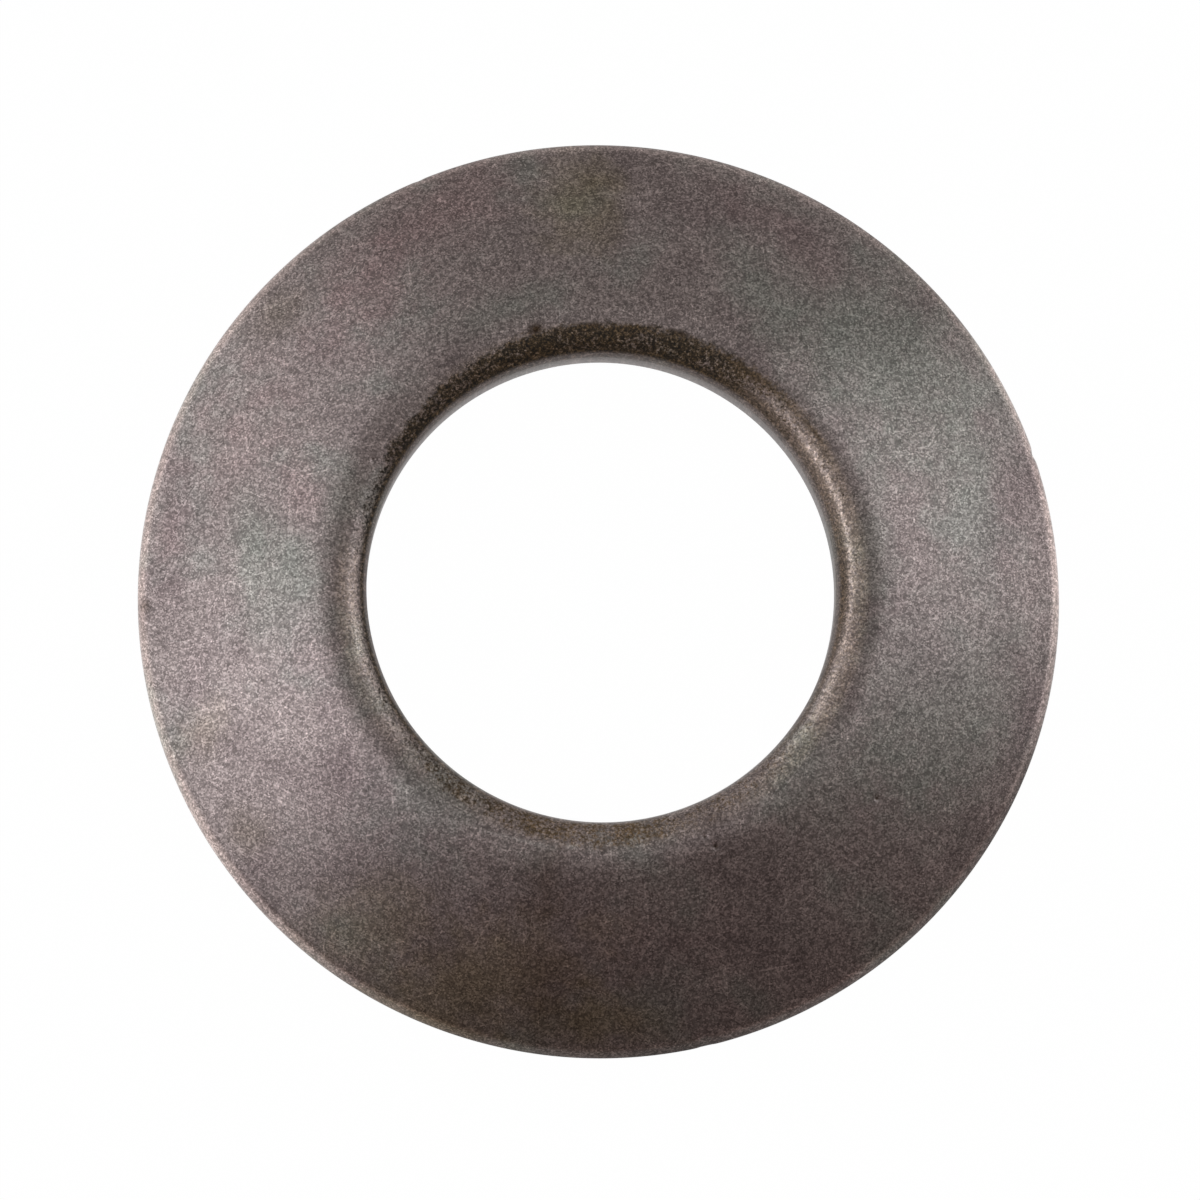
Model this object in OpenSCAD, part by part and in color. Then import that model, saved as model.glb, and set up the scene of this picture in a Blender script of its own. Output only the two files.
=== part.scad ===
// Dished pinion washer: one sheet of hardened steel, pierced, domed and rolled over at the bore.
// The axis is Z, the convex face is up, and the origin is the centre of the circle that it rests on.

/* [Washer] */
// Outside diameter across the rim
outer_diameter = 50.8; // [42:0.1:60]
// Diameter of the bore that the shaft passes through
bore_diameter = 25.65; // [18:0.05:30]
// Thickness of the sheet, square to the dome
thickness = 3.9; // [2.6:0.1:5]
// Spherical radius of the convex face
dome_radius = 52; // [40:0.5:120]

/* [Edges] */
// Distance from the bore to the crest, the highest circle of the convex face
crest_setback = 1.85; // [1.45:0.05:2.2]
// Radius over the crest, which blends the dome into the lip
crest_radius = 3.9; // [3:0.1:6]
// Radius of the lip that rolls from the crest into the bore
lip_radius = 1.35; // [0.5:0.05:1.4]
// Radius on the rim's upper edge
rim_upper_radius = 1.2; // [0.2:0.05:1.5]
// Radius on the rim's lower edge, which the washer rests on
rim_lower_radius = 0.3; // [0.1:0.05:0.7]
// Radius on the bore's lower edge
bore_lower_radius = 0.2; // [0.05:0.05:0.4]

/* [Hidden] */
$fn = 360;

bore_radius = bore_diameter / 2;
outer_radius = outer_diameter / 2;
concave_radius = dome_radius - thickness;

// The section is drawn about the dome's centre, where every line square to the sheet meets.
// A direction is given by its angle from the axis.
function toward(angle) = [sin(angle), cos(angle)];
function angle_of(point) = atan2(point.x, point.y);
function on_arc(radius, across) = [across, sqrt(radius * radius - across * across)];

// How much larger an edge's circle is than the one that only grazes its faces, so that it crosses them
crossing = 1.002;

// Centres of the crest's radius and of the lip's, which meet in the direction of the joint
crest_centre = on_arc(dome_radius - crest_radius, bore_radius + crest_setback);
lip_back = lip_radius - crest_setback;
lip_centre = crest_centre + on_arc(crossing * crest_radius - lip_radius, lip_back);
joint_angle = angle_of(lip_centre - crest_centre);

// Where the crest's cut ends: past the joint, where the lip's cut has cleared the corner already
crest_end = joint_angle - 20;

// Centres of the other three edge radii
bore_lower_centre = on_arc(concave_radius + bore_lower_radius, bore_radius + bore_lower_radius);
rim_upper_centre = on_arc(dome_radius - rim_upper_radius, outer_radius - crossing * rim_upper_radius);
rim_angle = angle_of(rim_upper_centre) + asin(rim_upper_radius / norm(rim_upper_centre));
rim_lower_reach = concave_radius + rim_lower_radius;
rim_lower_angle = rim_angle - asin(rim_lower_radius / rim_lower_reach);
rim_lower_centre = rim_lower_reach * toward(rim_lower_angle);

// Height of the resting circle in the section
base_height = rim_lower_centre.y - crossing * rim_lower_radius;

// Directions square to the bore's wall and to the rim's edge face
into_bore = toward(-90);
out_of_rim = toward(rim_angle + 90);

// Length of a cut that passes clear of the sheet
clear_length = 2 * dome_radius;

// The sheet between its two spherical faces, the bore's wall and the rim's edge face, with sharp corners
module sharp_sheet() {
    intersection() {
        difference() {
            circle(dome_radius);
            circle(concave_radius);
        }
        polygon([
            [bore_radius, bore_radius / tan(rim_angle)],
            clear_length * toward(rim_angle),
            [bore_radius, clear_length]
        ]);
    }
}

// What a radius takes off a corner that lies between two directions from the radius's centre
module corner_waste(centre, radius, side_a, side_b) {
    difference() {
        polygon([
            centre,
            centre + (radius + thickness) * side_a,
            centre + (radius + thickness) * (side_a + side_b),
            centre + (radius + thickness) * side_b
        ]);
        translate(centre) circle(crossing * radius);
    }
}

module section() {
    difference() {
        sharp_sheet();
        corner_waste(crest_centre, crest_radius, toward(angle_of(crest_centre)), toward(crest_end));
        corner_waste(lip_centre, lip_radius, toward(joint_angle), into_bore);
        corner_waste(bore_lower_centre, bore_lower_radius, -toward(angle_of(bore_lower_centre)), into_bore);
        corner_waste(rim_upper_centre, rim_upper_radius, toward(angle_of(rim_upper_centre)), out_of_rim);
        corner_waste(rim_lower_centre, rim_lower_radius, -toward(rim_lower_angle), out_of_rim);
    }
}

module pinion_washer() {
    color("#6b6462")
    translate([0, 0, -base_height])
    rotate_extrude()
    section();
}

pinion_washer();
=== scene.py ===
"""Dresses the pinion washer: dark tumbled steel with a rusted lip, on a white floor under soft boxes."""

import logging
import math
from dataclasses import dataclass
from enum import Enum
from typing import Any

import bmesh
import bpy
from mathutils import Matrix, Vector, noise

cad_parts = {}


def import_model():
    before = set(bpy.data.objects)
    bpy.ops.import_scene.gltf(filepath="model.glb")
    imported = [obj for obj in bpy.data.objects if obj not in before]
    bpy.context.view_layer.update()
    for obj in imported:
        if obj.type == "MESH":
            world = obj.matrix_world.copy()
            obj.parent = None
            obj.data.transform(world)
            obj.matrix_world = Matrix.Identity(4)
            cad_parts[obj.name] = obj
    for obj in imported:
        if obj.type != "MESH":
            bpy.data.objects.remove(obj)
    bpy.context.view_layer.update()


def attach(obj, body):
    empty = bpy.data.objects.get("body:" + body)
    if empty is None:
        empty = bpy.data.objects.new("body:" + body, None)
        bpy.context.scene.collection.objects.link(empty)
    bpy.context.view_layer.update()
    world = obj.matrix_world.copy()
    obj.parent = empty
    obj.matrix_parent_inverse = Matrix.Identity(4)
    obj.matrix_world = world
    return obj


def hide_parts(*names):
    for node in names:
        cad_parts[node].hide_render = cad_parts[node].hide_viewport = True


# The types that the node code passes round.
Tree, Socket = bpy.types.NodeTree, bpy.types.NodeSocket

LOG = logging.getLogger("washer")

# Metres in a millimetre: the washer's own sizes are written in millimetres.
MM = 0.001

# Sockets of a colour Mix node, whose names aren't unique.
MIX_A, MIX_B, MIX_RESULT = 6, 7, 2

# What the mesh holds of the films on the steel: the share of the steel that shows through them, and the
# colour that they lay over it.
FILM_CLEAR, FILM_COLOUR = "film_clear", "film_colour"

# Where a mark starts to fade and where it ends, in half sizes, and how much its ragged edge can take off.
MARK_START, MARK_END, MARK_SPREAD = 0.6, 1.8, 1.2

# A ramp's values stay under 1, so it holds the lip's reaches in units of this many millimetres.
RAMP_MM = 20.0

# Factors that drop a vector's height.
IN_PLAN = (1.0, 1.0, 0.0)

QUARTER = math.pi / 2
ACROSS = Vector((0.0, 1.0, 0.0))
AXIS = Vector((0.0, 0.0, 1.0))


def linear(hex_colour: str) -> tuple[float, float, float, float]:
    """Turns an sRGB colour into the linear values that a shader takes.

    Args:
        hex_colour: six hexadecimal digits after a hash sign.

    Returns:
        Linear red, green and blue, and an alpha of 1.
    """
    channels = [int(hex_colour[at : at + 2], 16) / 255 for at in (1, 3, 5)]
    red, green, blue = (c / 12.92 if c <= 0.04045 else ((c + 0.055) / 1.055) ** 2.4 for c in channels)
    return red, green, blue, 1.0


def add(
    tree: Tree,
    kind: str,
    inputs: dict[str | int, Any] | None = None,
    **settings: Any,
) -> bpy.types.Node:
    """Adds one node to a tree.

    Args:
        tree: the node tree of a material or of the world.
        kind: the node's type.
        inputs: what goes into each input: a value, or the socket that feeds it.
        settings: the node's own properties.

    Returns:
        The new node.
    """
    node = tree.nodes.new(kind)
    for name, value in settings.items():
        setattr(node, name, value)
    for key, value in (inputs or {}).items():
        if isinstance(value, Socket):
            tree.links.new(value, node.inputs[key])
        else:
            node.inputs[key].default_value = value
    return node


def add_round_ramp(
    tree: Tree,
    place: Socket,
    stops: list[tuple[float, tuple[float, float, float, float]]],
) -> bpy.types.Node:
    """Adds a colour ramp that runs once round the axis.

    Args:
        tree: the node tree of a material.
        place: the place on the surface.
        stops: an angle from +X in degrees, and the four values there.

    Returns:
        The ramp's node.
    """
    turn = add(tree, "ShaderNodeTexGradient", {"Vector": place}, gradient_type="RADIAL").outputs["Fac"]
    ramp = add(tree, "ShaderNodeValToRGB", {"Fac": turn})
    ramp.color_ramp.interpolation = "EASE"
    # The gradient starts at 180 degrees, where the ramp's two ends meet.
    placed = sorted(((angle + 180.0) % 360.0 / 360.0, values) for angle, values in stops)
    placed.append((1.0, placed[0][1]))
    elements = ramp.color_ramp.elements
    while len(elements) < len(placed):
        elements.new(1.0)
    for element, (_, values) in zip(elements, placed):
        element.color = values
    for element, (position, _) in zip(elements, placed):
        element.position = position
    return ramp


def on_face(
    tree: Tree,
    plan: Socket,
    x: float,
    y: float,
    turn: float,
    length: float,
    width: float,
) -> Socket:
    """Gives a place on the face in a pattern's own axes, in units of the pattern's size.

    Args:
        tree: the node tree of a material.
        plan: the place seen along the axis, in millimetres, with a third value of 1.
        x: where the pattern's middle lies along X, in millimetres.
        y: where it lies along Y.
        turn: the direction of its length from +X, in degrees.
        length: its size along that direction.
        width: its size across it.

    Returns:
        The place along and across the pattern.
    """
    angle = math.radians(turn)
    along = Vector((math.cos(angle), math.sin(angle), 0.0)) / length
    across = Vector((-math.sin(angle), math.cos(angle), 0.0)) / width
    middle = Vector((x, y, 0.0))
    shares = [
        add(
            tree,
            "ShaderNodeVectorMath",
            {0: plan, 1: (axis.x, axis.y, -axis.dot(middle))},
            operation="DOT_PRODUCT",
        ).outputs["Value"]
        for axis in (along, across)
    ]
    return add(tree, "ShaderNodeCombineXYZ", {"X": shares[0], "Y": shares[1]}).outputs[0]


def toward(angle: float) -> Vector:
    """Gives the direction at an angle from the axis, in the plane of the half section."""
    return Vector((math.sin(angle), 0.0, math.cos(angle)))


def angle_of(point: Vector) -> float:
    """Gives a point's angle from the axis, seen from the dome's centre."""
    return math.atan2(point.x, point.z)


def on_arc(radius: float, across: float) -> Vector:
    """Gives the upper point of an arc about the origin that lies this far across."""
    return Vector((across, 0.0, math.sqrt(radius * radius - across * across)))


class SectionPen:
    """Draws a section as one chain of edges, each stretch swept from the end of the last."""

    def __init__(self, mesh: bmesh.types.BMesh, start: Vector) -> None:
        """Puts the pen down at a point of the section's plane."""
        self.mesh = mesh
        self.tip = mesh.verts.new(start)

    def sweep(self, steps: int, **motion: Any) -> None:
        """Sweeps the chain's last vertex on.

        Args:
            steps: the number of edges in the stretch.
            motion: the turn or the shift that the spin operator makes.
        """
        made = bmesh.ops.spin(self.mesh, geom=[self.tip], steps=steps, **motion)
        self.tip = next(item for item in made["geom_last"] if isinstance(item, bmesh.types.BMVert))

    def arc(self, centre: Vector, start: float, end: float, steps: int) -> None:
        """Draws an arc about a centre, from one angle to another."""
        self.sweep(steps, cent=centre, axis=ACROSS, angle=end - start)

    def line(self, end: Vector, steps: int) -> None:
        """Draws a straight stretch to a point."""
        self.sweep(steps, cent=end, axis=ACROSS, angle=0.0, dvec=(end - self.tip.co) / steps)


@dataclass(frozen=True)
class Dent:
    """A small hollow in the upper face, in millimetres: where it is, how wide and how deep."""

    x: float
    y: float
    radius: float
    depth: float

    def distance(self, point: Vector) -> float:
        """Gives how far a point lies from the hollow's middle, seen along the axis."""
        return math.hypot(point.x - self.x, point.y - self.y)

    def depth_at(self, point: Vector) -> float:
        """Gives how far the hollow sinks a point."""
        return self.depth * math.exp(-((self.distance(point) / self.radius) ** 2))


class Tone(Enum):
    """What a mark on the steel is, as the colour that it gives the metal."""

    OIL = "#5d5238"
    OLIVE_FILM = "#978a66"
    BROWN_FILM = "#5a4738"
    GREEN_FILM = "#8e9088"
    MAUVE_FILM = "#a58787"
    PURPLE_FILM = "#7d6d6e"
    RUST = "#3b2c1c"
    BARE = "#cfc7c2"


@dataclass(frozen=True)
class Mark:
    """A patch or a scratch on the upper face, in millimetres and degrees, with its tone and strength."""

    x: float
    y: float
    half_length: float
    half_width: float
    turn: float
    tone: Tone
    strength: float

    def cover_at(self, point: Vector, ragged: float) -> float:
        """Gives how much of the steel the mark covers.

        Args:
            point: a place on the face.
            ragged: the unevenness of the mark's edge there, about 0.5.

        Returns:
            The share that is covered.
        """
        turn = math.radians(self.turn)
        x, y = point.x - self.x, point.y - self.y
        along = (x * math.cos(turn) + y * math.sin(turn)) / self.half_length
        across = (y * math.cos(turn) - x * math.sin(turn)) / self.half_width
        inside = MARK_END - MARK_SPREAD * ragged - math.hypot(along, across)
        share = min(max(inside / (MARK_END - MARK_START), 0.0), 1.0)
        return self.strength * share * share * (3.0 - 2.0 * share)


@dataclass(frozen=True)
class LipGrimeAndLight:
    """The lip at one angle: how far its film and its dark ring reach, and how strong each part is. The dark
    ring is partly dirt and partly painted shade, and the last value is how much the lip is lightened, partly
    as burnish and partly as painted highlight.
    """

    angle: float
    reach: float
    film: float
    ring_reach: float
    ring: float
    crust: float
    burnish_and_highlight: float


@dataclass(frozen=True)
class TumbledSteel:
    """Hardened steel, tumbled with grit: a dark satin metal with a peppered grain and thin oil tints."""

    name: str = "hardened_steel_tumbled"
    warm: str = "#9a8d8a"
    green: str = "#948f8a"
    dark: str = "#887b79"
    # The rim's edge and the lip are lightened in colour, partly as burnish and partly as painted highlight.
    lip_burnish_and_highlight: tuple[float, float, float, float] = (1.44, 1.38, 1.22, 1.0)
    rim_burnish_and_highlight: tuple[float, float, float, float] = (1.42, 1.39, 1.36, 1.0)
    rim_burnish_and_highlight_mm: tuple[float, float] = (24.8, 25.1)
    lip_burnish_and_highlight_mm: tuple[float, float, float, float] = (13.2, 13.5, 14.2, 14.8)
    # Painted shade: the bore's wall is darkened in its colour.
    bore_wall_painted_shade: float = 0.62
    bore_wall_painted_shade_mm: tuple[float, float] = (12.95, 13.25)
    roughness: float = 0.36
    bump_mm: float = 0.002
    facet_mm: float = 0.085
    facet_gain: float = 1.1
    clump_mm: float = 0.35
    clump_gain: float = 0.8
    mottle_mm: float = 6.0
    mottle_green: tuple[float, float] = (0.48, 0.68)
    mottle_dark: tuple[float, float] = (0.5, 0.3)
    hairline_mm: tuple[float, float] = (4.0, 0.1)
    hairline_turns: tuple[float, ...] = (12.0, 58.0, 97.0, 151.0)
    hairline_range: tuple[float, float] = (0.67, 0.8)
    hairline_gain: float = 0.35
    film_edge_mm: float = 1.4286
    film_raggedness: float = 0.25
    mark_edge_mm: float = 0.7143
    fleck_mm: float = 0.1667
    fleck_range: tuple[float, float] = (0.3, 0.6)
    speck_mm: float = 0.1818
    speck_range: tuple[float, float] = (0.3, 0.7)
    patch_mm: float = 1.0
    patch_gain: float = 0.8
    patch_range: tuple[float, float] = (0.15, 0.75)
    band_edge_mm: float = 0.4
    band_ragged_mm: float = 1.6
    band_fade_mm: tuple[float, float] = (-1.05, -0.55)
    crust_fade_mm: tuple[float, float] = (-0.2, -0.55)
    ring_ragged_mm: float = 0.25
    ring_fade_mm: tuple[float, float] = (-0.1, 0.35)
    lip_start_mm: tuple[float, float] = (12.86, 13.12)
    wall_end_mm: tuple[float, float] = (13.1, 12.9)
    # Painted shade, partly dirt, laid up the bore's wall.
    wall_grime_and_shade: float = 0.36
    wall_grime_and_shade_height: tuple[float, float] = (5.0, 6.9)
    # The colours and surface of the lip's dirt, also used for the painted shade of its ring and of the bore's
    # wall.
    grime_and_shade_dark: str = "#160f04"
    grime_and_shade_brown: str = "#82694a"
    grime_and_shade_thinness: float = 0.8
    grime_and_shade_metallic: float = 0.3
    grime_and_shade_roughness: float = 0.7
    side_blend_mm: float = 0.5
    dome_radius: float = 52.0
    dome_centre: float = -41.848
    thickness: float = 3.9
    films: tuple[Mark, ...] = (
        Mark(15.5, 13.0, 10.0, 6.0, -45.0, Tone.GREEN_FILM, 0.7),
        Mark(18.8, -6.5, 9.0, 5.5, 72.0, Tone.GREEN_FILM, 0.55),
        Mark(14.8, 3.0, 7.0, 1.5, 88.0, Tone.GREEN_FILM, 0.4),
        Mark(13.0, -10.5, 5.5, 3.0, 40.0, Tone.GREEN_FILM, 0.35),
        Mark(20.5, 7.5, 4.5, 2.6, 70.0, Tone.GREEN_FILM, 0.4),
        Mark(-17.5, 0.0, 4.8, 3.0, 95.0, Tone.GREEN_FILM, 0.6),
        Mark(-19.3, 3.5, 4.4, 1.4, 95.0, Tone.GREEN_FILM, 0.4),
        Mark(-14.4, 4.5, 3.0, 1.2, 80.0, Tone.GREEN_FILM, 0.4),
        Mark(-5.5, 15.2, 5.5, 1.4, 20.0, Tone.GREEN_FILM, 0.4),
        Mark(8.8, 16.0, 4.2, 2.0, -60.0, Tone.GREEN_FILM, 0.5),
        Mark(18.3, -3.5, 3.8, 2.8, 80.0, Tone.PURPLE_FILM, 0.35),
        Mark(22.4, 4.5, 7.5, 2.0, 80.0, Tone.PURPLE_FILM, 0.35),
        Mark(-19.5, 9.0, 5.0, 3.4, 60.0, Tone.MAUVE_FILM, 0.36),
        Mark(-13.2, 16.2, 4.2, 3.4, 45.0, Tone.MAUVE_FILM, 0.45),
        Mark(-8.5, 21.5, 5.5, 2.8, 25.0, Tone.MAUVE_FILM, 0.4),
        Mark(9.0, 21.0, 3.4, 1.8, -25.0, Tone.MAUVE_FILM, 0.4),
        Mark(12.5, 18.0, 3.0, 2.0, -35.0, Tone.MAUVE_FILM, 0.35),
        Mark(-3.0, -20.0, 12.0, 4.0, 0.0, Tone.MAUVE_FILM, 0.25),
        Mark(-23.5, 3.0, 3.4, 1.6, 85.0, Tone.MAUVE_FILM, 0.3),
        Mark(-16.4, 5.5, 3.0, 1.6, 100.0, Tone.MAUVE_FILM, 0.3),
        Mark(-12.0, -14.0, 8.0, 5.0, -42.0, Tone.PURPLE_FILM, 0.28),
        Mark(8.0, 21.2, 8.0, 2.0, -20.0, Tone.PURPLE_FILM, 0.3),
        Mark(-23.0, 4.5, 4.4, 1.6, 85.0, Tone.PURPLE_FILM, 0.45),
        Mark(-22.4, -5.5, 4.2, 1.4, 80.0, Tone.PURPLE_FILM, 0.4),
        Mark(-16.5, -3.2, 3.8, 2.6, 100.0, Tone.PURPLE_FILM, 0.3),
        Mark(-12.8, -10.8, 4.2, 2.0, -42.0, Tone.PURPLE_FILM, 0.35),
        Mark(-23.9, 0.8, 2.4, 1.4, 85.0, Tone.PURPLE_FILM, 0.45),
        Mark(4.5, 20.8, 4.5, 1.6, 0.0, Tone.PURPLE_FILM, 0.25),
        Mark(-7.0, -21.6, 9.0, 3.8, 18.0, Tone.OLIVE_FILM, 0.45),
        Mark(-12.4, -18.4, 4.8, 3.2, 20.0, Tone.OLIVE_FILM, 0.3),
        Mark(-0.5, -23.4, 5.0, 2.0, 0.0, Tone.OLIVE_FILM, 0.45),
        Mark(-1.2, 21.6, 3.6, 3.0, 85.0, Tone.OLIVE_FILM, 0.4),
        Mark(0.0, 23.0, 1.9, 1.4, 90.0, Tone.OIL, 0.35),
        Mark(0.5, 20.0, 2.0, 1.2, 80.0, Tone.OIL, 0.25),
        Mark(-17.6, 15.6, 2.8, 1.8, 40.0, Tone.OIL, 0.3),
        Mark(-19.2, -13.2, 2.0, 1.5, 125.0, Tone.OIL, 0.3),
        Mark(-21.8, -7.8, 2.4, 1.5, 60.0, Tone.OLIVE_FILM, 0.2),
        Mark(-3.0, -23.4, 5.0, 1.6, 0.0, Tone.OIL, 0.2),
        Mark(-2.8, -21.8, 3.0, 2.4, 90.0, Tone.BROWN_FILM, 0.35),
        Mark(-3.2, -16.2, 2.4, 1.5, 75.0, Tone.BROWN_FILM, 0.4),
        Mark(-18.6, -15.0, 2.2, 1.2, 40.0, Tone.PURPLE_FILM, 0.45),
        Mark(23.6, -6.8, 3.6, 1.3, 75.0, Tone.PURPLE_FILM, 0.5),
        Mark(21.4, 9.5, 2.6, 1.3, 70.0, Tone.PURPLE_FILM, 0.3),
        Mark(13.0, 18.6, 3.6, 1.8, -45.0, Tone.PURPLE_FILM, 0.25),
        Mark(-22.2, -8.6, 1.6, 1.0, 60.0, Tone.PURPLE_FILM, 0.4),
        Mark(-14.6, -6.6, 3.0, 1.4, 115.0, Tone.PURPLE_FILM, 0.2),
        Mark(2.0, -20.0, 3.4, 1.6, 0.0, Tone.PURPLE_FILM, 0.15),
        Mark(10.8, -18.4, 3.8, 2.0, 35.0, Tone.BARE, 0.1),
        Mark(7.0, -21.4, 3.0, 0.9, 15.0, Tone.BARE, 0.1),
        Mark(12.4, -11.4, 3.0, 1.2, 45.0, Tone.BARE, 0.08),
        Mark(6.8, 16.8, 3.6, 1.5, -15.0, Tone.BARE, 0.08),
        Mark(13.7, 11.6, 2.4, 0.9, -65.0, Tone.BARE, 0.12),
        Mark(-2.2, 15.2, 1.8, 1.0, 0.0, Tone.BARE, 0.1),
        Mark(-8.6, -19.0, 1.8, 1.2, 15.0, Tone.BARE, 0.08),
        Mark(-20.4, -2.2, 1.3, 0.8, 80.0, Tone.BARE, 0.1),
    )
    marks: tuple[Mark, ...] = (
        Mark(-24.95, -0.6, 0.5, 0.4, 90.0, Tone.RUST, 0.5),
        Mark(-20.2, -1.97, 0.6, 0.035, -29.0, Tone.BARE, 0.5),
        Mark(-23.2, -2.7, 0.7, 0.035, -11.0, Tone.BARE, 0.4),
        Mark(-3.12, 15.0, 0.4, 0.035, 90.0, Tone.BARE, 0.6),
        Mark(-2.3, 14.8, 0.75, 0.035, 90.0, Tone.BARE, 0.7),
        Mark(1.36, -15.45, 1.7, 0.05, 3.0, Tone.BARE, 0.35),
        # The two light arcs along the lower crest are partly a worn scuff and partly a painted highlight.
        Mark(-4.5, -13.95, 2.6, 0.16, -14.0, Tone.BARE, 0.4),
        Mark(-9.0, -11.6, 2.8, 0.12, -40.0, Tone.BARE, 0.25),
        Mark(-12.1, -14.3, 2.2, 0.25, 40.0, Tone.BARE, 0.15),
        Mark(-1.65, -14.3, 0.5, 0.22, 5.0, Tone.BARE, 0.6),
        Mark(-14.89, -6.42, 0.07, 0.07, 0.0, Tone.BARE, 0.9),
        Mark(-3.6, 14.15, 0.7, 0.5, 20.0, Tone.RUST, 0.95),
        Mark(-0.6, 14.3, 1.1, 0.28, 3.0, Tone.RUST, 0.9),
        Mark(1.35, 14.2, 1.1, 0.32, -5.0, Tone.RUST, 0.9),
        Mark(4.3, 13.9, 1.1, 0.3, -17.0, Tone.RUST, 0.85),
        Mark(8.3, 11.6, 1.6, 0.25, -36.0, Tone.RUST, 0.7),
        Mark(11.6, 8.5, 1.2, 0.15, -54.0, Tone.RUST, 0.6),
        Mark(14.97, -11.51, 0.13, 0.13, 0.0, Tone.RUST, 0.9),
        Mark(6.12, -14.28, 0.2, 0.15, 0.0, Tone.RUST, 0.9),
        Mark(5.52, -13.75, 0.15, 0.1, 0.0, Tone.RUST, 0.8),
    )
    # Per angle round the lip: the dirt's reaches and strengths, the dark ring (partly painted shade) and the
    # lip's lightening (partly painted highlight).
    lip_grime_and_light: tuple[LipGrimeAndLight, ...] = (
        LipGrimeAndLight(0.0, 14.1, 0.1, 13.7, 0.8, 0.1, 1.0),
        LipGrimeAndLight(20.0, 14.4, 0.14, 13.8, 0.6, 0.2, 1.0),
        LipGrimeAndLight(35.0, 14.55, 0.22, 13.75, 0.55, 0.5, 1.0),
        LipGrimeAndLight(50.0, 14.62, 0.42, 13.8, 0.7, 0.8, 0.8),
        LipGrimeAndLight(65.0, 14.62, 0.72, 13.7, 1.0, 0.9, 0.6),
        LipGrimeAndLight(90.0, 14.5, 0.8, 13.6, 1.0, 1.0, 0.5),
        LipGrimeAndLight(105.0, 14.42, 0.8, 13.6, 1.0, 0.8, 0.5),
        LipGrimeAndLight(120.0, 14.2, 0.72, 13.6, 1.0, 0.4, 0.4),
        LipGrimeAndLight(140.0, 13.9, 0.66, 13.65, 1.0, 0.2, 0.0),
        LipGrimeAndLight(165.0, 13.65, 0.4, 13.55, 1.0, 0.0, 0.1),
        LipGrimeAndLight(185.0, 13.4, 0.1, 13.5, 1.0, 0.0, 0.8),
        LipGrimeAndLight(210.0, 13.7, 0.25, 13.55, 0.95, 0.0, 0.45),
        LipGrimeAndLight(235.0, 14.15, 0.5, 13.5, 0.75, 0.0, 0.25),
        LipGrimeAndLight(270.0, 14.3, 0.5, 13.4, 0.3, 0.0, 0.15),
        LipGrimeAndLight(300.0, 14.0, 0.3, 13.4, 0.25, 0.0, 0.4),
        LipGrimeAndLight(330.0, 13.8, 0.12, 13.45, 0.55, 0.0, 0.9),
    )

    def lay_films(self, mesh: bmesh.types.BMesh) -> None:
        """Stores the wide, soft films with the vertices of the convex side, for the material to read.

        Args:
            mesh: the washer's mesh, in millimetres.
        """
        clear = mesh.verts.layers.float.new(FILM_CLEAR)
        added = mesh.verts.layers.float_vector.new(FILM_COLOUR)
        centre = Vector((0.0, 0.0, self.dome_centre))
        middle = self.dome_radius - self.thickness / 2
        films = [(film, Vector(linear(film.tone.value)[:3])) for film in self.films]
        for vertex in mesh.verts:
            showing, colour = 1.0, Vector((0.0, 0.0, 0.0))
            if (vertex.co - centre).length > middle:
                rough = noise.fractal(vertex.co / self.film_edge_mm, 0.6, 2.0, 3)
                ragged = 0.5 + self.film_raggedness * rough
                for film, tone in films:
                    cover = film.cover_at(vertex.co, ragged)
                    if cover > 0.0:
                        showing *= 1.0 - cover
                        colour = colour.lerp(tone, cover)
            vertex[clear] = showing
            vertex[added] = colour

    def material(self) -> bpy.types.Material:
        """Makes the steel's material.

        Returns:
            The material, on the object's own coordinates in millimetres.
        """
        made = bpy.data.materials.new(self.name)
        made.use_nodes = True
        tree = made.node_tree
        tree.nodes.clear()

        place = add(tree, "ShaderNodeTexCoord").outputs["Object"]
        point = add(tree, "ShaderNodeVectorMath", {0: place, "Scale": 1 / MM}, operation="SCALE").outputs[0]

        clear = add(tree, "ShaderNodeAttribute", attribute_name=FILM_CLEAR).outputs["Fac"]
        added = add(tree, "ShaderNodeAttribute", attribute_name=FILM_COLOUR).outputs["Vector"]
        colour = add(
            tree,
            "ShaderNodeVectorMath",
            {0: self.tints(tree, point), 1: clear, 2: added},
            operation="MULTIPLY_ADD",
        ).outputs[0]
        height, grain = self.grain(tree, point)
        plan = add(
            tree,
            "ShaderNodeVectorMath",
            {0: point, 1: IN_PLAN, 2: (0.0, 0.0, 1.0)},
            operation="MULTIPLY_ADD",
        ).outputs[0]
        colour = self.hairlines(tree, plan, colour)
        marked = self.marked(tree, point, plan, colour)
        upper = self.upper_side(tree, point)
        colour = add(
            tree, "ShaderNodeMix", {"Factor": upper, MIX_A: colour, MIX_B: marked}, data_type="RGBA"
        ).outputs[MIX_RESULT]
        flat = add(
            tree, "ShaderNodeVectorMath", {0: point, 1: IN_PLAN}, operation="MULTIPLY"
        ).outputs[0]
        radius = add(tree, "ShaderNodeVectorMath", {0: flat}, operation="LENGTH").outputs["Value"]
        extents = add_round_ramp(
            tree,
            flat,
            [(g.angle, (g.reach / RAMP_MM, g.ring_reach / RAMP_MM, g.burnish_and_highlight, 1.0)) for g in self.lip_grime_and_light],
        )
        colour = self.burnish_highlight_and_shade(tree, point, radius, extents, colour)

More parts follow.
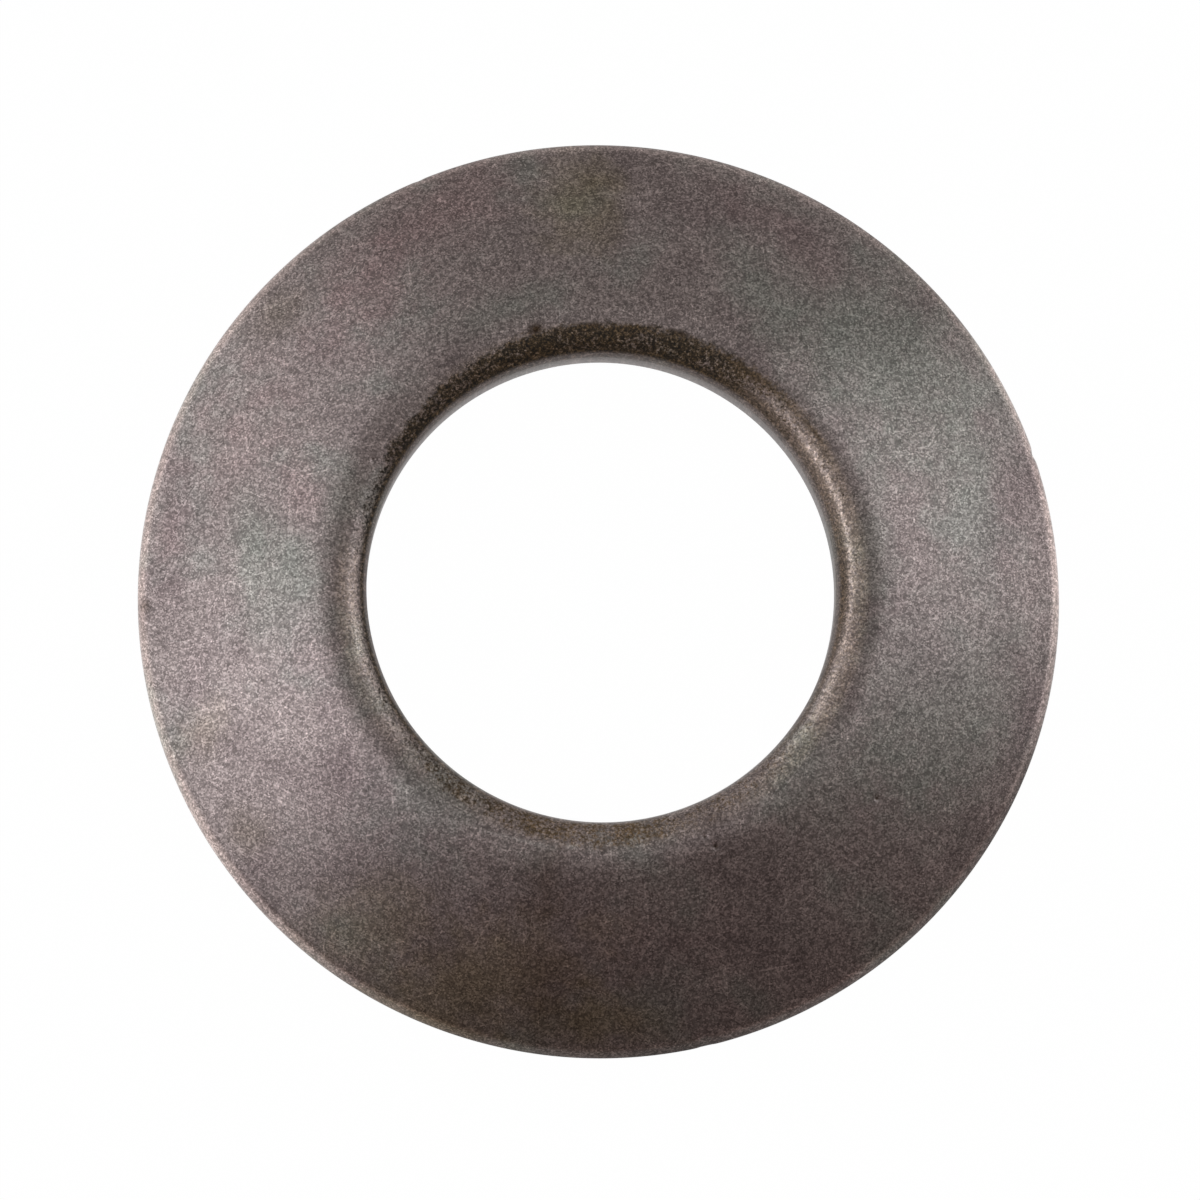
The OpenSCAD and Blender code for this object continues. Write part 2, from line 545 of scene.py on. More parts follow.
        # The lip's dirt, with the painted shade of its dark ring and of the bore's upper wall.
        cover, grime_and_shade_colour = self.lip_grime_and_shade(tree, point, flat, radius, extents)
        colour = add(
            tree,
            "ShaderNodeMix",
            {"Factor": cover, MIX_A: colour, MIX_B: grime_and_shade_colour},
            data_type="RGBA",
        ).outputs[MIX_RESULT]
        colour = add(
            tree, "ShaderNodeVectorMath", {0: colour, "Scale": grain}, operation="SCALE"
        ).outputs[0]
        metallic, roughness = (
            add(tree, "ShaderNodeMapRange", {"Value": cover, "To Min": steel, "To Max": lip_grime_and_light}).outputs[0]
            for steel, lip_grime_and_light in ((1.0, self.grime_and_shade_metallic), (self.roughness, self.grime_and_shade_roughness))
        )
        bump = add(
            tree, "ShaderNodeBump", {"Strength": 1.0, "Distance": self.bump_mm * MM, "Height": height}
        ).outputs[0]
        surface = add(
            tree,
            "ShaderNodeBsdfPrincipled",
            {"Base Color": colour, "Metallic": metallic, "Roughness": roughness, "Normal": bump},
        )
        add(tree, "ShaderNodeOutputMaterial", {"Surface": surface.outputs[0]})
        return made

    def tints(self, tree: Tree, point: Socket) -> Socket:
        """Mixes the warm, greenish and darker greys of the steel's thin oxide in soft patches."""
        mottle = add(
            tree,
            "ShaderNodeTexNoise",
            {"Vector": point, "Scale": 1 / self.mottle_mm, "Detail": 4.0, "Roughness": 0.6},
        ).outputs[0]
        greener, darker = (
            add(
                tree,
                "ShaderNodeMapRange",
                {"Value": mottle, "From Min": start, "From Max": end},
                interpolation_type="SMOOTHSTEP",
            ).outputs[0]
            for start, end in (self.mottle_green, self.mottle_dark)
        )
        colour = add(
            tree,
            "ShaderNodeMix",
            {"Factor": greener, MIX_A: linear(self.warm), MIX_B: linear(self.green)},
            data_type="RGBA",
        ).outputs[MIX_RESULT]
        return add(
            tree,
            "ShaderNodeMix",
            {"Factor": darker, MIX_A: colour, MIX_B: linear(self.dark)},
            data_type="RGBA",
        ).outputs[MIX_RESULT]

    def grain(
        self, tree: Tree, point: Socket
    ) -> tuple[Socket, Socket]:
        """Makes the peppered grain: tiny facets that the grit has struck, each a little lighter or darker.

        Returns:
            The grain's height, and the factor that it gives the colour.
        """
        facets = add(
            tree, "ShaderNodeTexVoronoi", {"Vector": point, "Scale": 1 / self.facet_mm}
        ).outputs["Color"]
        facet = add(tree, "ShaderNodeSeparateXYZ", {0: facets}).outputs["X"]
        clump = add(
            tree,
            "ShaderNodeTexNoise",
            {"Vector": point, "Scale": 1 / self.clump_mm, "Detail": 2.0, "Roughness": 0.6},
        ).outputs[0]
        # Squared, the facets' even spread has few bright flecks among many dull ones. Its mean is a third.
        fleck = add(tree, "ShaderNodeMath", {0: facet, 1: facet}, operation="MULTIPLY").outputs[0]
        level = 1.0 - self.facet_gain / 3 - self.clump_gain / 2
        factor = add(
            tree, "ShaderNodeMath", {0: fleck, 1: self.facet_gain, 2: level}, operation="MULTIPLY_ADD"
        ).outputs[0]
        factor = add(
            tree, "ShaderNodeMath", {0: clump, 1: self.clump_gain, 2: factor}, operation="MULTIPLY_ADD"
        ).outputs[0]
        return clump, factor

    def hairlines(
        self, tree: Tree, plan: Socket, colour: Socket
    ) -> Socket:
        """Lightens the steel along scattered hairline scratches, which run in a few directions."""
        # A real hairline is finer than a pixel, so it is drawn as wide as it needs to show.
        length, width = self.hairline_mm
        start, end = self.hairline_range
        for turn in self.hairline_turns:
            local = on_face(tree, plan, turn, 0.0, turn, length, width)
            streak = add(
                tree, "ShaderNodeTexNoise", {"Vector": local, "Scale": 1.0, "Detail": 0.0}
            ).outputs[0]
            lighter = add(
                tree,
                "ShaderNodeMapRange",
                {
                    "Value": streak,
                    "From Min": start,
                    "From Max": end,
                    "To Min": 1.0,
                    "To Max": 1.0 + self.hairline_gain,
                },
            ).outputs[0]
            colour = add(
                tree, "ShaderNodeVectorMath", {0: colour, "Scale": lighter}, operation="SCALE"
            ).outputs[0]
        return colour

    def marked(
        self,
        tree: Tree,
        point: Socket,
        plan: Socket,
        colour: Socket,
    ) -> Socket:
        """Lays the specks and the scratches over the steel's colour, each with a broken edge."""
        ragged = add(
            tree,
            "ShaderNodeTexNoise",
            {"Vector": point, "Scale": 1 / self.mark_edge_mm, "Detail": 4.0, "Roughness": 0.65},
        ).outputs[0]
        start, end = (
            add(
                tree, "ShaderNodeMath", {0: ragged, 1: -MARK_SPREAD, 2: limit}, operation="MULTIPLY_ADD"
            ).outputs[0]
            for limit in (MARK_END, MARK_START)
        )
        for mark in self.marks:
            local = on_face(tree, plan, mark.x, mark.y, mark.turn, mark.half_length, mark.half_width)
            distance = add(tree, "ShaderNodeVectorMath", {0: local}, operation="LENGTH").outputs["Value"]
            cover = add(
                tree,
                "ShaderNodeMapRange",
                {"Value": distance, "From Min": start, "From Max": end, "To Max": mark.strength},
                interpolation_type="SMOOTHSTEP",
            ).outputs[0]
            colour = add(
                tree,
                "ShaderNodeMix",
                {"Factor": cover, MIX_A: colour, MIX_B: linear(mark.tone.value)},
                data_type="RGBA",
            ).outputs[MIX_RESULT]
        return colour

    def upper_side(self, tree: Tree, point: Socket) -> Socket:
        """Tells the convex side from the concave side, by the distance from the dome's centre."""
        distance = add(
            tree,
            "ShaderNodeVectorMath",
            {0: point, 1: (0.0, 0.0, self.dome_centre)},
            operation="DISTANCE",
        ).outputs["Value"]
        middle = self.dome_radius - self.thickness / 2
        return add(
            tree,
            "ShaderNodeMapRange",
            {
                "Value": distance,
                "From Min": middle - self.side_blend_mm,
                "From Max": middle + self.side_blend_mm,
            },
        ).outputs[0]

    def burnish_highlight_and_shade(
        self,
        tree: Tree,
        point: Socket,
        radius: Socket,
        extents: bpy.types.Node,
        colour: Socket,
    ) -> Socket:
        """Lightens the rim's edge and the lip, partly as burnish from handling and partly as painted
        highlight, and darkens the bore's wall with painted shade.

        Args:
            tree: the material's nodes.
            point: the place on the washer, in millimetres.
            radius: its distance from the axis.
            extents: the ramp of the lip's reaches, and of how much its burnish and painted highlight lighten
                it.
            colour: the steel's colour so far.

        Returns:
            The steel's colour with its burnish, painted highlights and painted shade.
        """
        rise_start, rise_end, fall_start, fall_end = self.lip_burnish_and_highlight_mm
        spans = (self.rim_burnish_and_highlight_mm, (rise_start, rise_end), (fall_end, fall_start))
        at_rim, past_bore, short_of_flank = (
            add(
                tree,
                "ShaderNodeMapRange",
                {"Value": radius, "From Min": start, "From Max": end},
                interpolation_type="SMOOTHSTEP",
            ).outputs[0]
            for start, end in spans
        )
        flecks = add(
            tree,
            "ShaderNodeTexNoise",
            {"Vector": point, "Scale": 1 / self.fleck_mm, "Detail": 2.0, "Roughness": 0.7},
        ).outputs[0]
        start, end = self.fleck_range
        flecks = add(
            tree, "ShaderNodeMapRange", {"Value": flecks, "From Min": start, "From Max": end}
        ).outputs[0]
        burnish_and_highlight_here = add(tree, "ShaderNodeSeparateXYZ", {0: extents.outputs["Color"]}).outputs["Z"]
        at_lip = past_bore
        for share in (short_of_flank, flecks, burnish_and_highlight_here):
            at_lip = add(tree, "ShaderNodeMath", {0: at_lip, 1: share}, operation="MULTIPLY").outputs[0]
        # Painted highlight and burnish: the rim's edge and the lip are lightened in colour.
        for share, burnish_and_highlight in ((at_rim, self.rim_burnish_and_highlight), (at_lip, self.lip_burnish_and_highlight)):
            lighter = add(
                tree,
                "ShaderNodeMix",
                {"Factor": share, MIX_A: (1.0, 1.0, 1.0, 1.0), MIX_B: burnish_and_highlight},
                data_type="RGBA",
            ).outputs[MIX_RESULT]
            colour = add(
                tree, "ShaderNodeVectorMath", {0: colour, 1: lighter}, operation="MULTIPLY"
            ).outputs[0]
        # Painted shade: the bore's wall is darkened in its colour.
        start, end = self.bore_wall_painted_shade_mm
        shade = add(
            tree,
            "ShaderNodeMapRange",
            {"Value": radius, "From Min": start, "From Max": end, "To Min": self.bore_wall_painted_shade, "To Max": 1.0},
        ).outputs[0]
        return add(tree, "ShaderNodeVectorMath", {0: colour, "Scale": shade}, operation="SCALE").outputs[0]

    def lip_grime_and_shade(
        self,
        tree: Tree,
        point: Socket,
        flat: Socket,
        radius: Socket,
        extents: bpy.types.Node,
    ) -> tuple[Socket, Socket]:
        """Makes the ragged band of rust and dirt on the lip, with a dark ring and a darker upper bore wall
        that are partly dirt and partly painted shade.

        Args:
            tree: the material's nodes.
            point: the place on the washer, in millimetres.
            flat: the same place without its height.
            radius: its distance from the axis.
            extents: the ramp of the lip's reaches, and of how much its burnish and painted highlight lighten
                it.

        Returns:
            How much of the steel the band covers, and its colour.
        """
        height = add(tree, "ShaderNodeSeparateXYZ", {0: point}).outputs["Z"]

        ramp = add_round_ramp(
            tree, flat, [(g.angle, (0.0, g.film, g.ring, g.crust)) for g in self.lip_grime_and_light]
        )
        spread = add(tree, "ShaderNodeSeparateXYZ", {0: ramp.outputs["Color"]}).outputs
        extent = add(tree, "ShaderNodeSeparateXYZ", {0: extents.outputs["Color"]}).outputs
        reach, ring_reach = (
            add(tree, "ShaderNodeMath", {0: extent[name], 1: RAMP_MM}, operation="MULTIPLY").outputs[0]
            for name in ("X", "Y")
        )

        ragged, specks, patches = (
            add(
                tree,
                "ShaderNodeTexNoise",
                {"Vector": point, "Scale": 1 / size_mm, "Detail": detail, "Roughness": rough},
            ).outputs[0]
            for size_mm, detail, rough in (
                (self.band_edge_mm, 4.0, 0.8),
                (self.speck_mm, 2.0, 0.8),
                (self.patch_mm, 2.0, 0.6),
            )
        )
        start, end = self.speck_range
        specks = add(
            tree, "ShaderNodeMapRange", {"Value": specks, "From Min": start, "From Max": end}
        ).outputs[0]

        outer = add(
            tree, "ShaderNodeMath", {0: ragged, 1: -self.band_ragged_mm, 2: reach}, operation="MULTIPLY_ADD"
        ).outputs[0]
        inside = add(tree, "ShaderNodeMath", {0: outer, 1: radius}, operation="SUBTRACT").outputs[0]
        start, end = self.band_fade_mm
        band = add(
            tree,
            "ShaderNodeMapRange",
            {"Value": inside, "From Min": start, "From Max": end},
            interpolation_type="SMOOTHSTEP",
        ).outputs[0]
        broken = spread["Y"]
        for pattern, gain in ((specks, -self.patch_gain), (patches, self.patch_gain)):
            broken = add(
                tree, "ShaderNodeMath", {0: pattern, 1: gain, 2: broken}, operation="MULTIPLY_ADD"
            ).outputs[0]
        start, end = self.patch_range
        patchy = add(
            tree,
            "ShaderNodeMapRange",
            {"Value": broken, "From Min": start, "From Max": end},
            interpolation_type="SMOOTHSTEP",
        ).outputs[0]
        # The film is thickest along its outer edge, where it has dried to a crust.
        start, end = self.crust_fade_mm
        edge = add(
            tree,
            "ShaderNodeMapRange",
            {"Value": inside, "From Min": start, "From Max": end, "To Max": ramp.outputs["Alpha"]},
            interpolation_type="SMOOTHSTEP",
        ).outputs[0]
        patchy = add(tree, "ShaderNodeMath", {0: patchy, 1: edge}, operation="MAXIMUM").outputs[0]
        film = add(tree, "ShaderNodeMath", {0: band, 1: patchy}, operation="MULTIPLY").outputs[0]

        # A dark ring lies where the lip turns down into the bore: partly dirt, partly painted shade.
        ring_reach = add(
            tree,
            "ShaderNodeMath",
            {0: specks, 1: -self.ring_ragged_mm, 2: ring_reach},
            operation="MULTIPLY_ADD",
        ).outputs[0]
        within_ring = add(
            tree, "ShaderNodeMath", {0: ring_reach, 1: radius}, operation="SUBTRACT"
        ).outputs[0]
        start, end = self.ring_fade_mm
        ring = add(
            tree,
            "ShaderNodeMapRange",
            {"Value": within_ring, "From Min": start, "From Max": end, "To Max": spread["Z"]},
            interpolation_type="SMOOTHSTEP",
        ).outputs[0]
        cover = add(tree, "ShaderNodeMath", {0: film, 1: ring}, operation="MAXIMUM").outputs[0]
        start, end = self.lip_start_mm
        clear_of_bore = add(
            tree,
            "ShaderNodeMapRange",
            {"Value": radius, "From Min": start, "From Max": end},
            interpolation_type="SMOOTHSTEP",
        ).outputs[0]
        cover = add(tree, "ShaderNodeMath", {0: cover, 1: clear_of_bore}, operation="MULTIPLY").outputs[0]

        # Painted shade, partly dirt: the bore's wall takes the dirt's colour more strongly towards its top.
        start, end = self.wall_grime_and_shade_height
        down_wall = add(
            tree,
            "ShaderNodeMapRange",
            {"Value": height, "From Min": start, "From Max": end, "To Max": spread["Z"]},
            interpolation_type="SMOOTHSTEP",
        ).outputs[0]
        down_wall = add(
            tree, "ShaderNodeMath", {0: down_wall, 1: self.wall_grime_and_shade}, operation="MULTIPLY"
        ).outputs[0]
        start, end = self.wall_end_mm
        at_bore = add(
            tree,
            "ShaderNodeMapRange",
            {"Value": radius, "From Min": start, "From Max": end, "To Max": down_wall},
        ).outputs[0]
        cover = add(tree, "ShaderNodeMath", {0: cover, 1: at_bore}, operation="MAXIMUM").outputs[0]
        # Thick dirt and painted shade are nearly black with brown specks, and a thin trace of dirt is rusty
        # brown.
        thin = add(
            tree,
            "ShaderNodeMapRange",
            {"Value": spread["Z"], "From Min": 1.0, "From Max": 0.0, "To Max": self.grime_and_shade_thinness},
        ).outputs[0]
        tone = add(
            tree, "ShaderNodeMath", {0: specks, 1: specks, 2: thin}, operation="MULTIPLY_ADD"
        ).outputs[0]
        colour = add(
            tree,
            "ShaderNodeMix",
            {"Factor": tone, MIX_A: linear(self.grime_and_shade_dark), MIX_B: linear(self.grime_and_shade_brown)},
            data_type="RGBA",
        ).outputs[MIX_RESULT]
        return cover, colour


@dataclass
class Washer:
    """The washer's one piece: a dished sheet with a rolled lip, in millimetres."""

    outer_radius: float = 25.4
    bore_radius: float = 12.825
    thickness: float = 3.9
    dome_radius: float = 52.0
    crest_setback: float = 1.85
    crest_radius: float = 3.9
    lip_radius: float = 1.35
    rim_upper_radius: float = 1.2
    rim_lower_radius: float = 0.3
    bore_lower_radius: float = 0.2
    steps_round: int = 480
    merge_distance: float = 1e-4
    fine_radii: float = 2.5
    fine_margin: float = 0.3
    fine_cuts: int = 3
    upper_height: float = 2.6
    lip_height: float = 6.6
    lip_reach: float = 16.0
    uneven_depth: float = 0.008
    uneven_span: float = 5.0
    lip_uneven_depth: float = 0.012
    lip_uneven_span: float = 2.5
    dents: tuple[Dent, ...] = (
        Dent(2.05, 20.07, 0.12, 0.05),
        Dent(14.97, -11.51, 0.13, 0.04),
        Dent(6.12, -14.28, 0.2, 0.06),
        Dent(5.52, -13.75, 0.15, 0.05),
        Dent(-12.47, 6.85, 0.12, 0.05),
        Dent(-9.87, 23.14, 0.25, 0.07),
        Dent(24.06, 8.04, 0.3, 0.08),
        Dent(5.73, -24.58, 0.35, 0.08),
    )

    def draw_section(self, mesh: bmesh.types.BMesh) -> None:
        """Draws the half section about the dome's centre, from the bore round to the bore again.

        Args:
            mesh: the mesh that takes the chain of edges.
        """
        concave_radius = self.dome_radius - self.thickness
        crest = on_arc(self.dome_radius - self.crest_radius, self.bore_radius + self.crest_setback)
        lip = crest + on_arc(self.crest_radius - self.lip_radius, self.lip_radius - self.crest_setback)
        joint = angle_of(lip - crest)
        rim_upper = on_arc(
            self.dome_radius - self.rim_upper_radius, self.outer_radius - self.rim_upper_radius
        )
        rim_angle = angle_of(rim_upper) + math.asin(self.rim_upper_radius / rim_upper.length)
        rim_reach = concave_radius + self.rim_lower_radius
        rim_lower_angle = rim_angle - math.asin(self.rim_lower_radius / rim_reach)
        rim_lower = rim_reach * toward(rim_lower_angle)
        bore_lower = on_arc(
            concave_radius + self.bore_lower_radius, self.bore_radius + self.bore_lower_radius
        )
        out_of_rim = rim_angle + QUARTER
        centre = Vector((0.0, 0.0, 0.0))

        start = lip + self.lip_radius * toward(-QUARTER)
        pen = SectionPen(mesh, start)
        pen.arc(lip, -QUARTER, joint, steps=22)
        pen.arc(crest, joint, angle_of(crest), steps=16)
        pen.arc(centre, angle_of(crest), angle_of(rim_upper), steps=56)
        pen.arc(rim_upper, angle_of(rim_upper), out_of_rim, steps=14)
        pen.line(rim_lower + self.rim_lower_radius * toward(out_of_rim), steps=5)
        pen.arc(rim_lower, out_of_rim, rim_lower_angle + math.pi, steps=6)
        pen.arc(centre, rim_lower_angle, angle_of(bore_lower), steps=16)
        pen.arc(bore_lower, angle_of(bore_lower) + math.pi, 3 * QUARTER, steps=4)
        pen.line(start, steps=6)
        bmesh.ops.translate(mesh, verts=mesh.verts, vec=(0.0, 0.0, self.rim_lower_radius - rim_lower.z))

    def refine(self, mesh: bmesh.types.BMesh) -> None:
        """Cuts the mesh finer round each dent, so that the dent keeps its shape.

        Args:
            mesh: the washer's mesh, before it is weathered.
        """
        for dent in self.dents:
            reach = self.fine_radii * dent.radius + self.fine_margin
            near = {
                vertex
                for vertex in mesh.verts
                if vertex.co.z > self.upper_height and dent.distance(vertex.co) < reach
            }
            edges = [edge for edge in mesh.edges if edge.verts[0] in near and edge.verts[1] in near]
            bmesh.ops.subdivide_edges(mesh, edges=edges, cuts=self.fine_cuts, use_grid_fill=True)

    def weather(self, mesh: bmesh.types.BMesh) -> None:
        """Sinks the surface a little where it is uneven, pitted or nicked, and never raises it.

        Args:
            mesh: the washer's mesh, with its normals.
        """
        for vertex in mesh.verts:
            point = vertex.co
            radius = math.hypot(point.x, point.y)
            sink = self.uneven_depth * (1.0 + noise.noise(point / self.uneven_span))
            if point.z > self.lip_height and radius < self.lip_reach:
                sink += self.lip_uneven_depth * (1.0 + noise.noise(point / self.lip_uneven_span))
            if point.z > self.upper_height:
                sink += sum(dent.depth_at(point) for dent in self.dents)
            vertex.co -= vertex.normal * sink

    def build(self, steel: TumbledSteel) -> bpy.types.Object:
        """Builds the washer's mesh and dresses it.

        Args:
            steel: the finish of every face.

        Returns:
            The finished piece, at the origin.
        """
        mesh = bmesh.new()
        self.draw_section(mesh)
        bmesh.ops.spin(
            mesh,
            geom=mesh.verts[:] + mesh.edges[:],
            cent=(0.0, 0.0, 0.0),
            axis=AXIS,
            angle=math.tau,
            steps=self.steps_round,
            use_merge=True,
        )
        bmesh.ops.remove_doubles(mesh, verts=mesh.verts, dist=self.merge_distance)
        self.refine(mesh)
        bmesh.ops.recalc_face_normals(mesh, faces=mesh.faces)
        mesh.normal_update()
        self.weather(mesh)
        steel.lay_films(mesh)
        bmesh.ops.scale(mesh, verts=mesh.verts, vec=(MM, MM, MM))
        for face in mesh.faces:
            face.smooth = True
        data = bpy.data.meshes.new("washer_body")
        mesh.to_mesh(data)
        mesh.free()
        data.materials.append(steel.material())
        piece = bpy.data.objects.new("washer_body", data)
        bpy.context.scene.collection.objects.link(piece)
        return piece


@dataclass(frozen=True)
class SoftBox:
    """A rectangular lamp that faces the washer: its place by angle, its size in metres and its brightness."""

    name: str
    azimuth: float
    elevation: float
    distance: float
    width: float
    height: float
    radiance: float

    def build(self, target: Vector, colour: str) -> bpy.types.Object:
        """Hangs the lamp so that it faces a point.

        Args:
            target: the point that the lamp faces.
            colour: the colour of its light.

        Returns:
            The lamp.
        """
        data = bpy.data.lights.new(self.name, "AREA")
        data.shape = "RECTANGLE"
        data.size, data.size_y = self.width, self.height
        data.energy = self.radiance * math.pi * self.width * self.height
        data.color = linear(colour)[:3]
        lamp = bpy.data.objects.new(self.name, data)
        azimuth, elevation = math.radians(self.azimuth), math.radians(self.elevation)
        out = Vector(
            (
                math.cos(elevation) * math.cos(azimuth),
                math.cos(elevation) * math.sin(azimuth),
                math.sin(elevation),
            )
        )
        lamp.location = target + out * self.distance
        lamp.rotation_euler = out.to_track_quat("Z", "Y").to_euler()
        bpy.context.scene.collection.objects.link(lamp)
        return lamp


@dataclass
class Studio:
    """The white floor, the lamps, the dim room round them and the camera."""

    floor_half_width: float = 1.5
    floor_colour: str = "#fbfbfb"
    floor_seen: float = 0.993
    floor_in_bore: float = 0.8
    floor_in_bore_mm: tuple[float, float] = (13.0, 20.0)
    floor_round: tuple[tuple[float, float], ...] = (
        (5.0, 1.2),
        (25.0, 1.0),
        (45.0, 0.42),
        (90.0, 0.45),
        (120.0, 0.45),
        (140.0, 0.92),
        (180.0, 1.1),
        (212.0, 1.1),
        (224.0, 0.75),
        (238.0, 0.42),
        (255.0, 0.22),
        (280.0, 0.13),
        (300.0, 0.22),
        (338.0, 0.22),
        (352.0, 0.72),
    )
    boxes: tuple[SoftBox, ...] = (
        SoftBox("left_window", 171.5, 32.0, 0.5, 0.8, 0.46, 0.68),
        SoftBox("left_box", 190.5, 55.0, 0.5, 0.24, 0.35, 1.02),
        SoftBox("right_box", 19.0, 44.5, 0.5, 0.32, 0.37, 0.86),
        SoftBox("left_strip", 180.0, 5.0, 0.5, 1.1, 0.1, 0.85),
        SoftBox("right_strip", 13.0, 6.5, 0.5, 0.42, 0.12, 1.15),
    )
    lamp_colour: str = "#f5faff"
    room_back: float = 0.33
    room_front: float = 0.122
    room_horizon: float = 0.14
    front_to_back: tuple[float, float] = (-0.75, 0.2)
    behind_camera: tuple[float, float] = (-0.98, -0.87)
    horizon_height: tuple[float, float] = (0.45, 0.15)
    back_colour: str = "#fffdfb"
    front_colour: str = "#ffeae4"
    target: Vector = Vector((0.0, 0.0, 3.5 * MM))
    tilt: float = 8.25
    heading: float = -103.8
    distance: float = 0.42
    image_width_mm: float = 1200 / 18.18
    shift_right_mm: float = 0.3 / 18.18
    shift_down_mm: float = 3.6 / 18.18
    sensor_mm: float = 36.0
    clip: tuple[float, float] = (0.01, 10.0)

    def lay_floor(self) -> bpy.types.Object:
        """Lays the floor that the washer rests on.

        Returns:
            The floor.
        """
        mesh = bmesh.new()
        bmesh.ops.create_grid(mesh, x_segments=1, y_segments=1, size=self.floor_half_width)
        data = bpy.data.meshes.new("floor")
        mesh.to_mesh(data)
        mesh.free()
        data.materials.append(self.floor_material())
        floor = bpy.data.objects.new("floor", data)
        bpy.context.scene.collection.objects.link(floor)
        return floor

    def floor_material(self) -> bpy.types.Material:
        """Makes the floor's white card, which keeps a faint shadow and is mirrored unevenly by the metal.

        Returns:
            The material.
        """
        made = bpy.data.materials.new("white_card")
        made.use_nodes = True
        tree = made.node_tree
        tree.nodes.clear()
        place = add(tree, "ShaderNodeTexCoord").outputs["Object"]
        # The metal mirrors a card that is bright at its sides, dimmer behind and dark on the camera's side.
        ramp = add_round_ramp(
            tree, place, [(angle, (level, level, level, 1.0)) for angle, level in self.floor_round]
        )
        near, far = self.floor_in_bore_mm
        distance = add(tree, "ShaderNodeVectorMath", {0: place}, operation="LENGTH").outputs["Value"]
        mirrored = add(
            tree,
            "ShaderNodeMapRange",
            {
                "Value": distance,
                "From Min": near * MM,
                "From Max": far * MM,
                "To Min": self.floor_in_bore,
                "To Max": ramp.outputs["Color"],
            },
        ).outputs[0]
        rays = add(tree, "ShaderNodeLightPath").outputs
        indirect = add(
            tree,
            "ShaderNodeMath",
            {0: rays["Is Glossy Ray"], 1: rays["Is Transmission Ray"]},
            operation="MAXIMUM",
        ).outputs[0]
        glow_share = add(
            tree,
            "ShaderNodeMath",
            {0: rays["Is Camera Ray"], 1: self.floor_seen, 2: indirect},
            operation="MULTIPLY_ADD",
        ).outputs[0]
        strength = add(
            tree, "ShaderNodeMapRange", {"Value": rays["Is Camera Ray"], "To Min": mirrored, "To Max": 1.0}
        ).outputs[0]
        card = add(tree, "ShaderNodeBsdfDiffuse", {"Color": linear(self.floor_colour)}).outputs[0]
        glow = add(
            tree, "ShaderNodeEmission", {"Color": (1.0, 1.0, 1.0, 1.0), "Strength": strength}
        ).outputs[0]
        mixed = add(tree, "ShaderNodeMixShader", {0: glow_share, 1: card, 2: glow}).outputs[0]
        add(tree, "ShaderNodeOutputMaterial", {"Surface": mixed})
        return made

    def light_room(self) -> None:
        """Makes the dim room, which is darker and warmer on the camera's side, and hangs the lamps."""
        world = bpy.data.worlds.new("studio")
        world.use_nodes = True
        tree = world.node_tree
        tree.nodes.clear()
        direction = add(tree, "ShaderNodeTexCoord").outputs["Generated"]
        depth = add(tree, "ShaderNodeSeparateXYZ", {0: direction}).outputs["Y"]
        start, end = self.front_to_back
        share = add(
            tree,
            "ShaderNodeMapRange",
            {"Value": depth, "From Min": start, "From Max": end},
            interpolation_type="SMOOTHSTEP",
        ).outputs[0]
        strength = add(
            tree,
            "ShaderNodeMapRange",
            {"Value": share, "To Min": self.room_front, "To Max": self.room_back},
        ).outputs[0]
        # A paler band runs round the horizon, except behind the camera.
        flat = add(
            tree, "ShaderNodeVectorMath", {0: direction, 1: IN_PLAN}, operation="MULTIPLY"
        ).outputs[0]
        flat = add(tree, "ShaderNodeVectorMath", {0: flat}, operation="NORMALIZE").outputs[0]
        start, end = self.behind_camera
        beside = add(
            tree,
            "ShaderNodeMapRange",
            {
                "Value": add(tree, "ShaderNodeSeparateXYZ", {0: flat}).outputs["Y"],
                "From Min": start,
                "From Max": end,
                "To Max": self.room_horizon,
            },
            interpolation_type="SMOOTHSTEP",
        ).outputs[0]
        start, end = self.horizon_height
        horizon = add(
            tree,
            "ShaderNodeMapRange",
            {
                "Value": add(tree, "ShaderNodeSeparateXYZ", {0: direction}).outputs["Z"],
                "From Min": start,
                "From Max": end,
                "To Max": beside,
            },
            interpolation_type="SMOOTHSTEP",
        ).outputs[0]
        strength = add(tree, "ShaderNodeMath", {0: strength, 1: horizon}, operation="ADD").outputs[0]
        colour = add(
            tree,
            "ShaderNodeMix",
            {"Factor": share, MIX_A: linear(self.front_colour), MIX_B: linear(self.back_colour)},
            data_type="RGBA",
        ).outputs[MIX_RESULT]
        room = add(tree, "ShaderNodeBackground", {"Color": colour, "Strength": strength})
        add(tree, "ShaderNodeOutputWorld", {"Surface": room.outputs[0]})
        bpy.context.scene.world = world
        for box in self.boxes:
            box.build(self.target, self.lamp_colour)
            LOG.info("lamp %s", box.name)

    def set_camera(self) -> bpy.types.Object:
        """Sets the camera a little off the washer's axis, as the photograph has it.

        Returns:
            The camera.
        """
        tilt, heading = math.radians(self.tilt), math.radians(self.heading)
        lean = Matrix.Rotation(tilt, 3, Vector((-math.sin(heading), math.cos(heading), 0.0)))
        right, up, back = (lean @ Vector(axis) for axis in ((1, 0, 0), (0, 1, 0), (0, 0, 1)))
        data = bpy.data.cameras.new("camera")
        data.sensor_width = self.sensor_mm
        data.lens = self.sensor_mm * self.distance / (self.image_width_mm * MM)
        data.clip_start, data.clip_end = self.clip
        camera = bpy.data.objects.new("camera", data)
        turned = Matrix((right, up, back)).transposed().to_4x4()
        turned.translation = (
            self.target
            + back * self.distance
            + right * self.shift_right_mm * MM
            - up * self.shift_down_mm * MM
        )
        camera.matrix_world = turned
        bpy.context.scene.collection.objects.link(camera)
        bpy.context.scene.camera = camera
        return camera


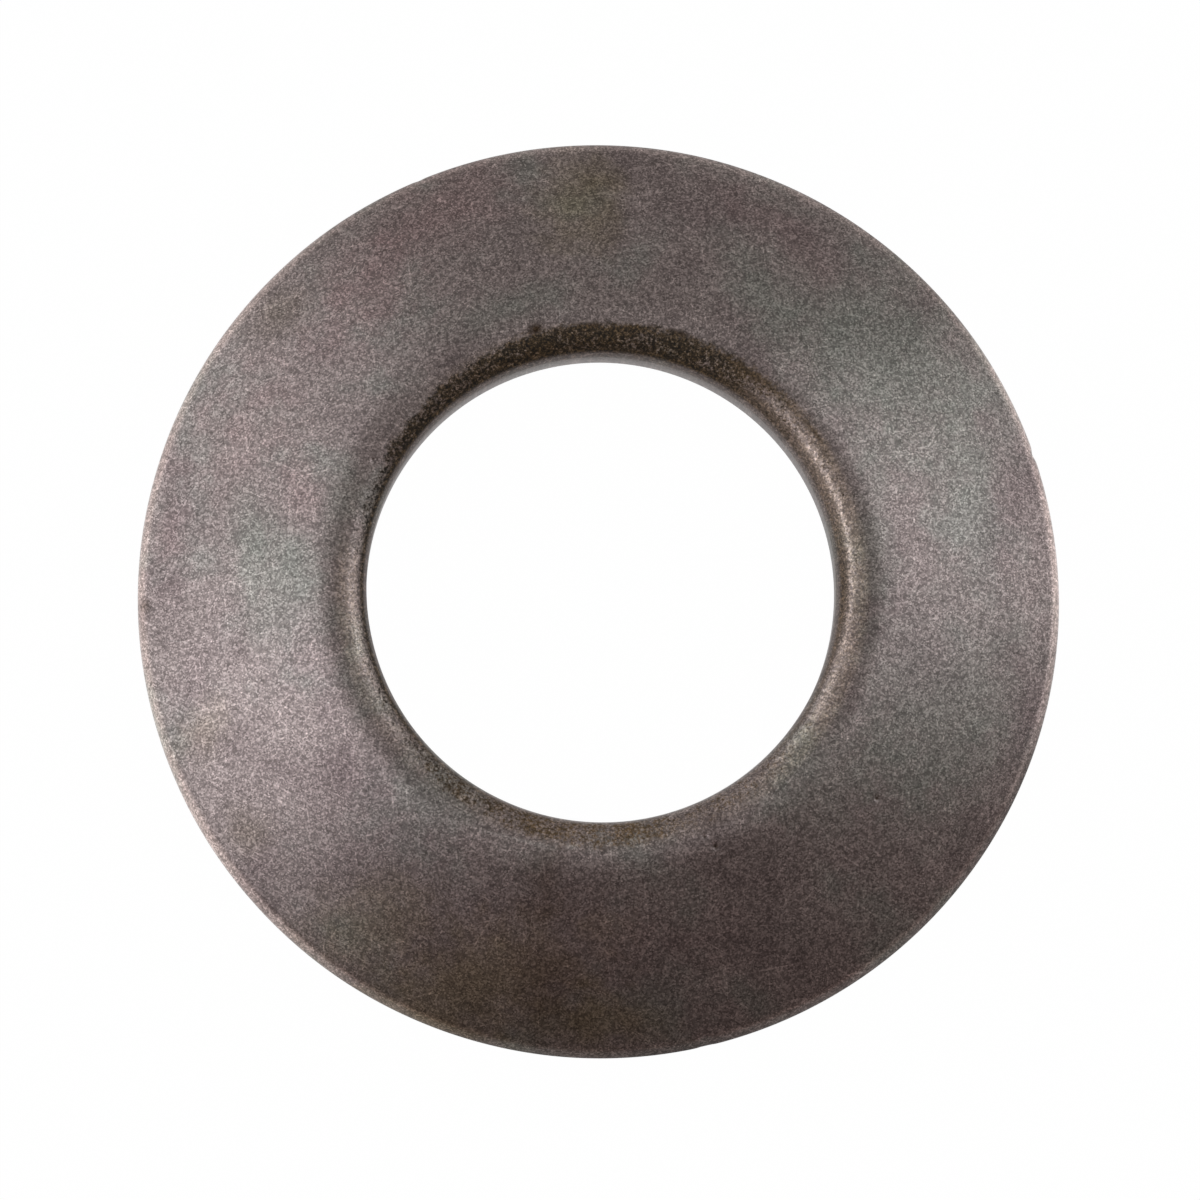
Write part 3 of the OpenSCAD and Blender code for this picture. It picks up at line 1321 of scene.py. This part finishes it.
def main() -> None:
    """Builds the camera, the washer and the studio in order."""
    logging.basicConfig(level=logging.INFO, format="%(name)s: %(message)s")
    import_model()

    bpy.context.scene.view_settings.view_transform = "Standard"
    studio = Studio()
    studio.set_camera()

    piece = Washer().build(TumbledSteel())
    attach(piece, "root")
    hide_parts("pinion_washer")
    LOG.info("piece %s: %d faces", piece.name, len(piece.data.polygons))

    studio.lay_floor()
    studio.light_room()


if __name__ == "__main__":
    main()
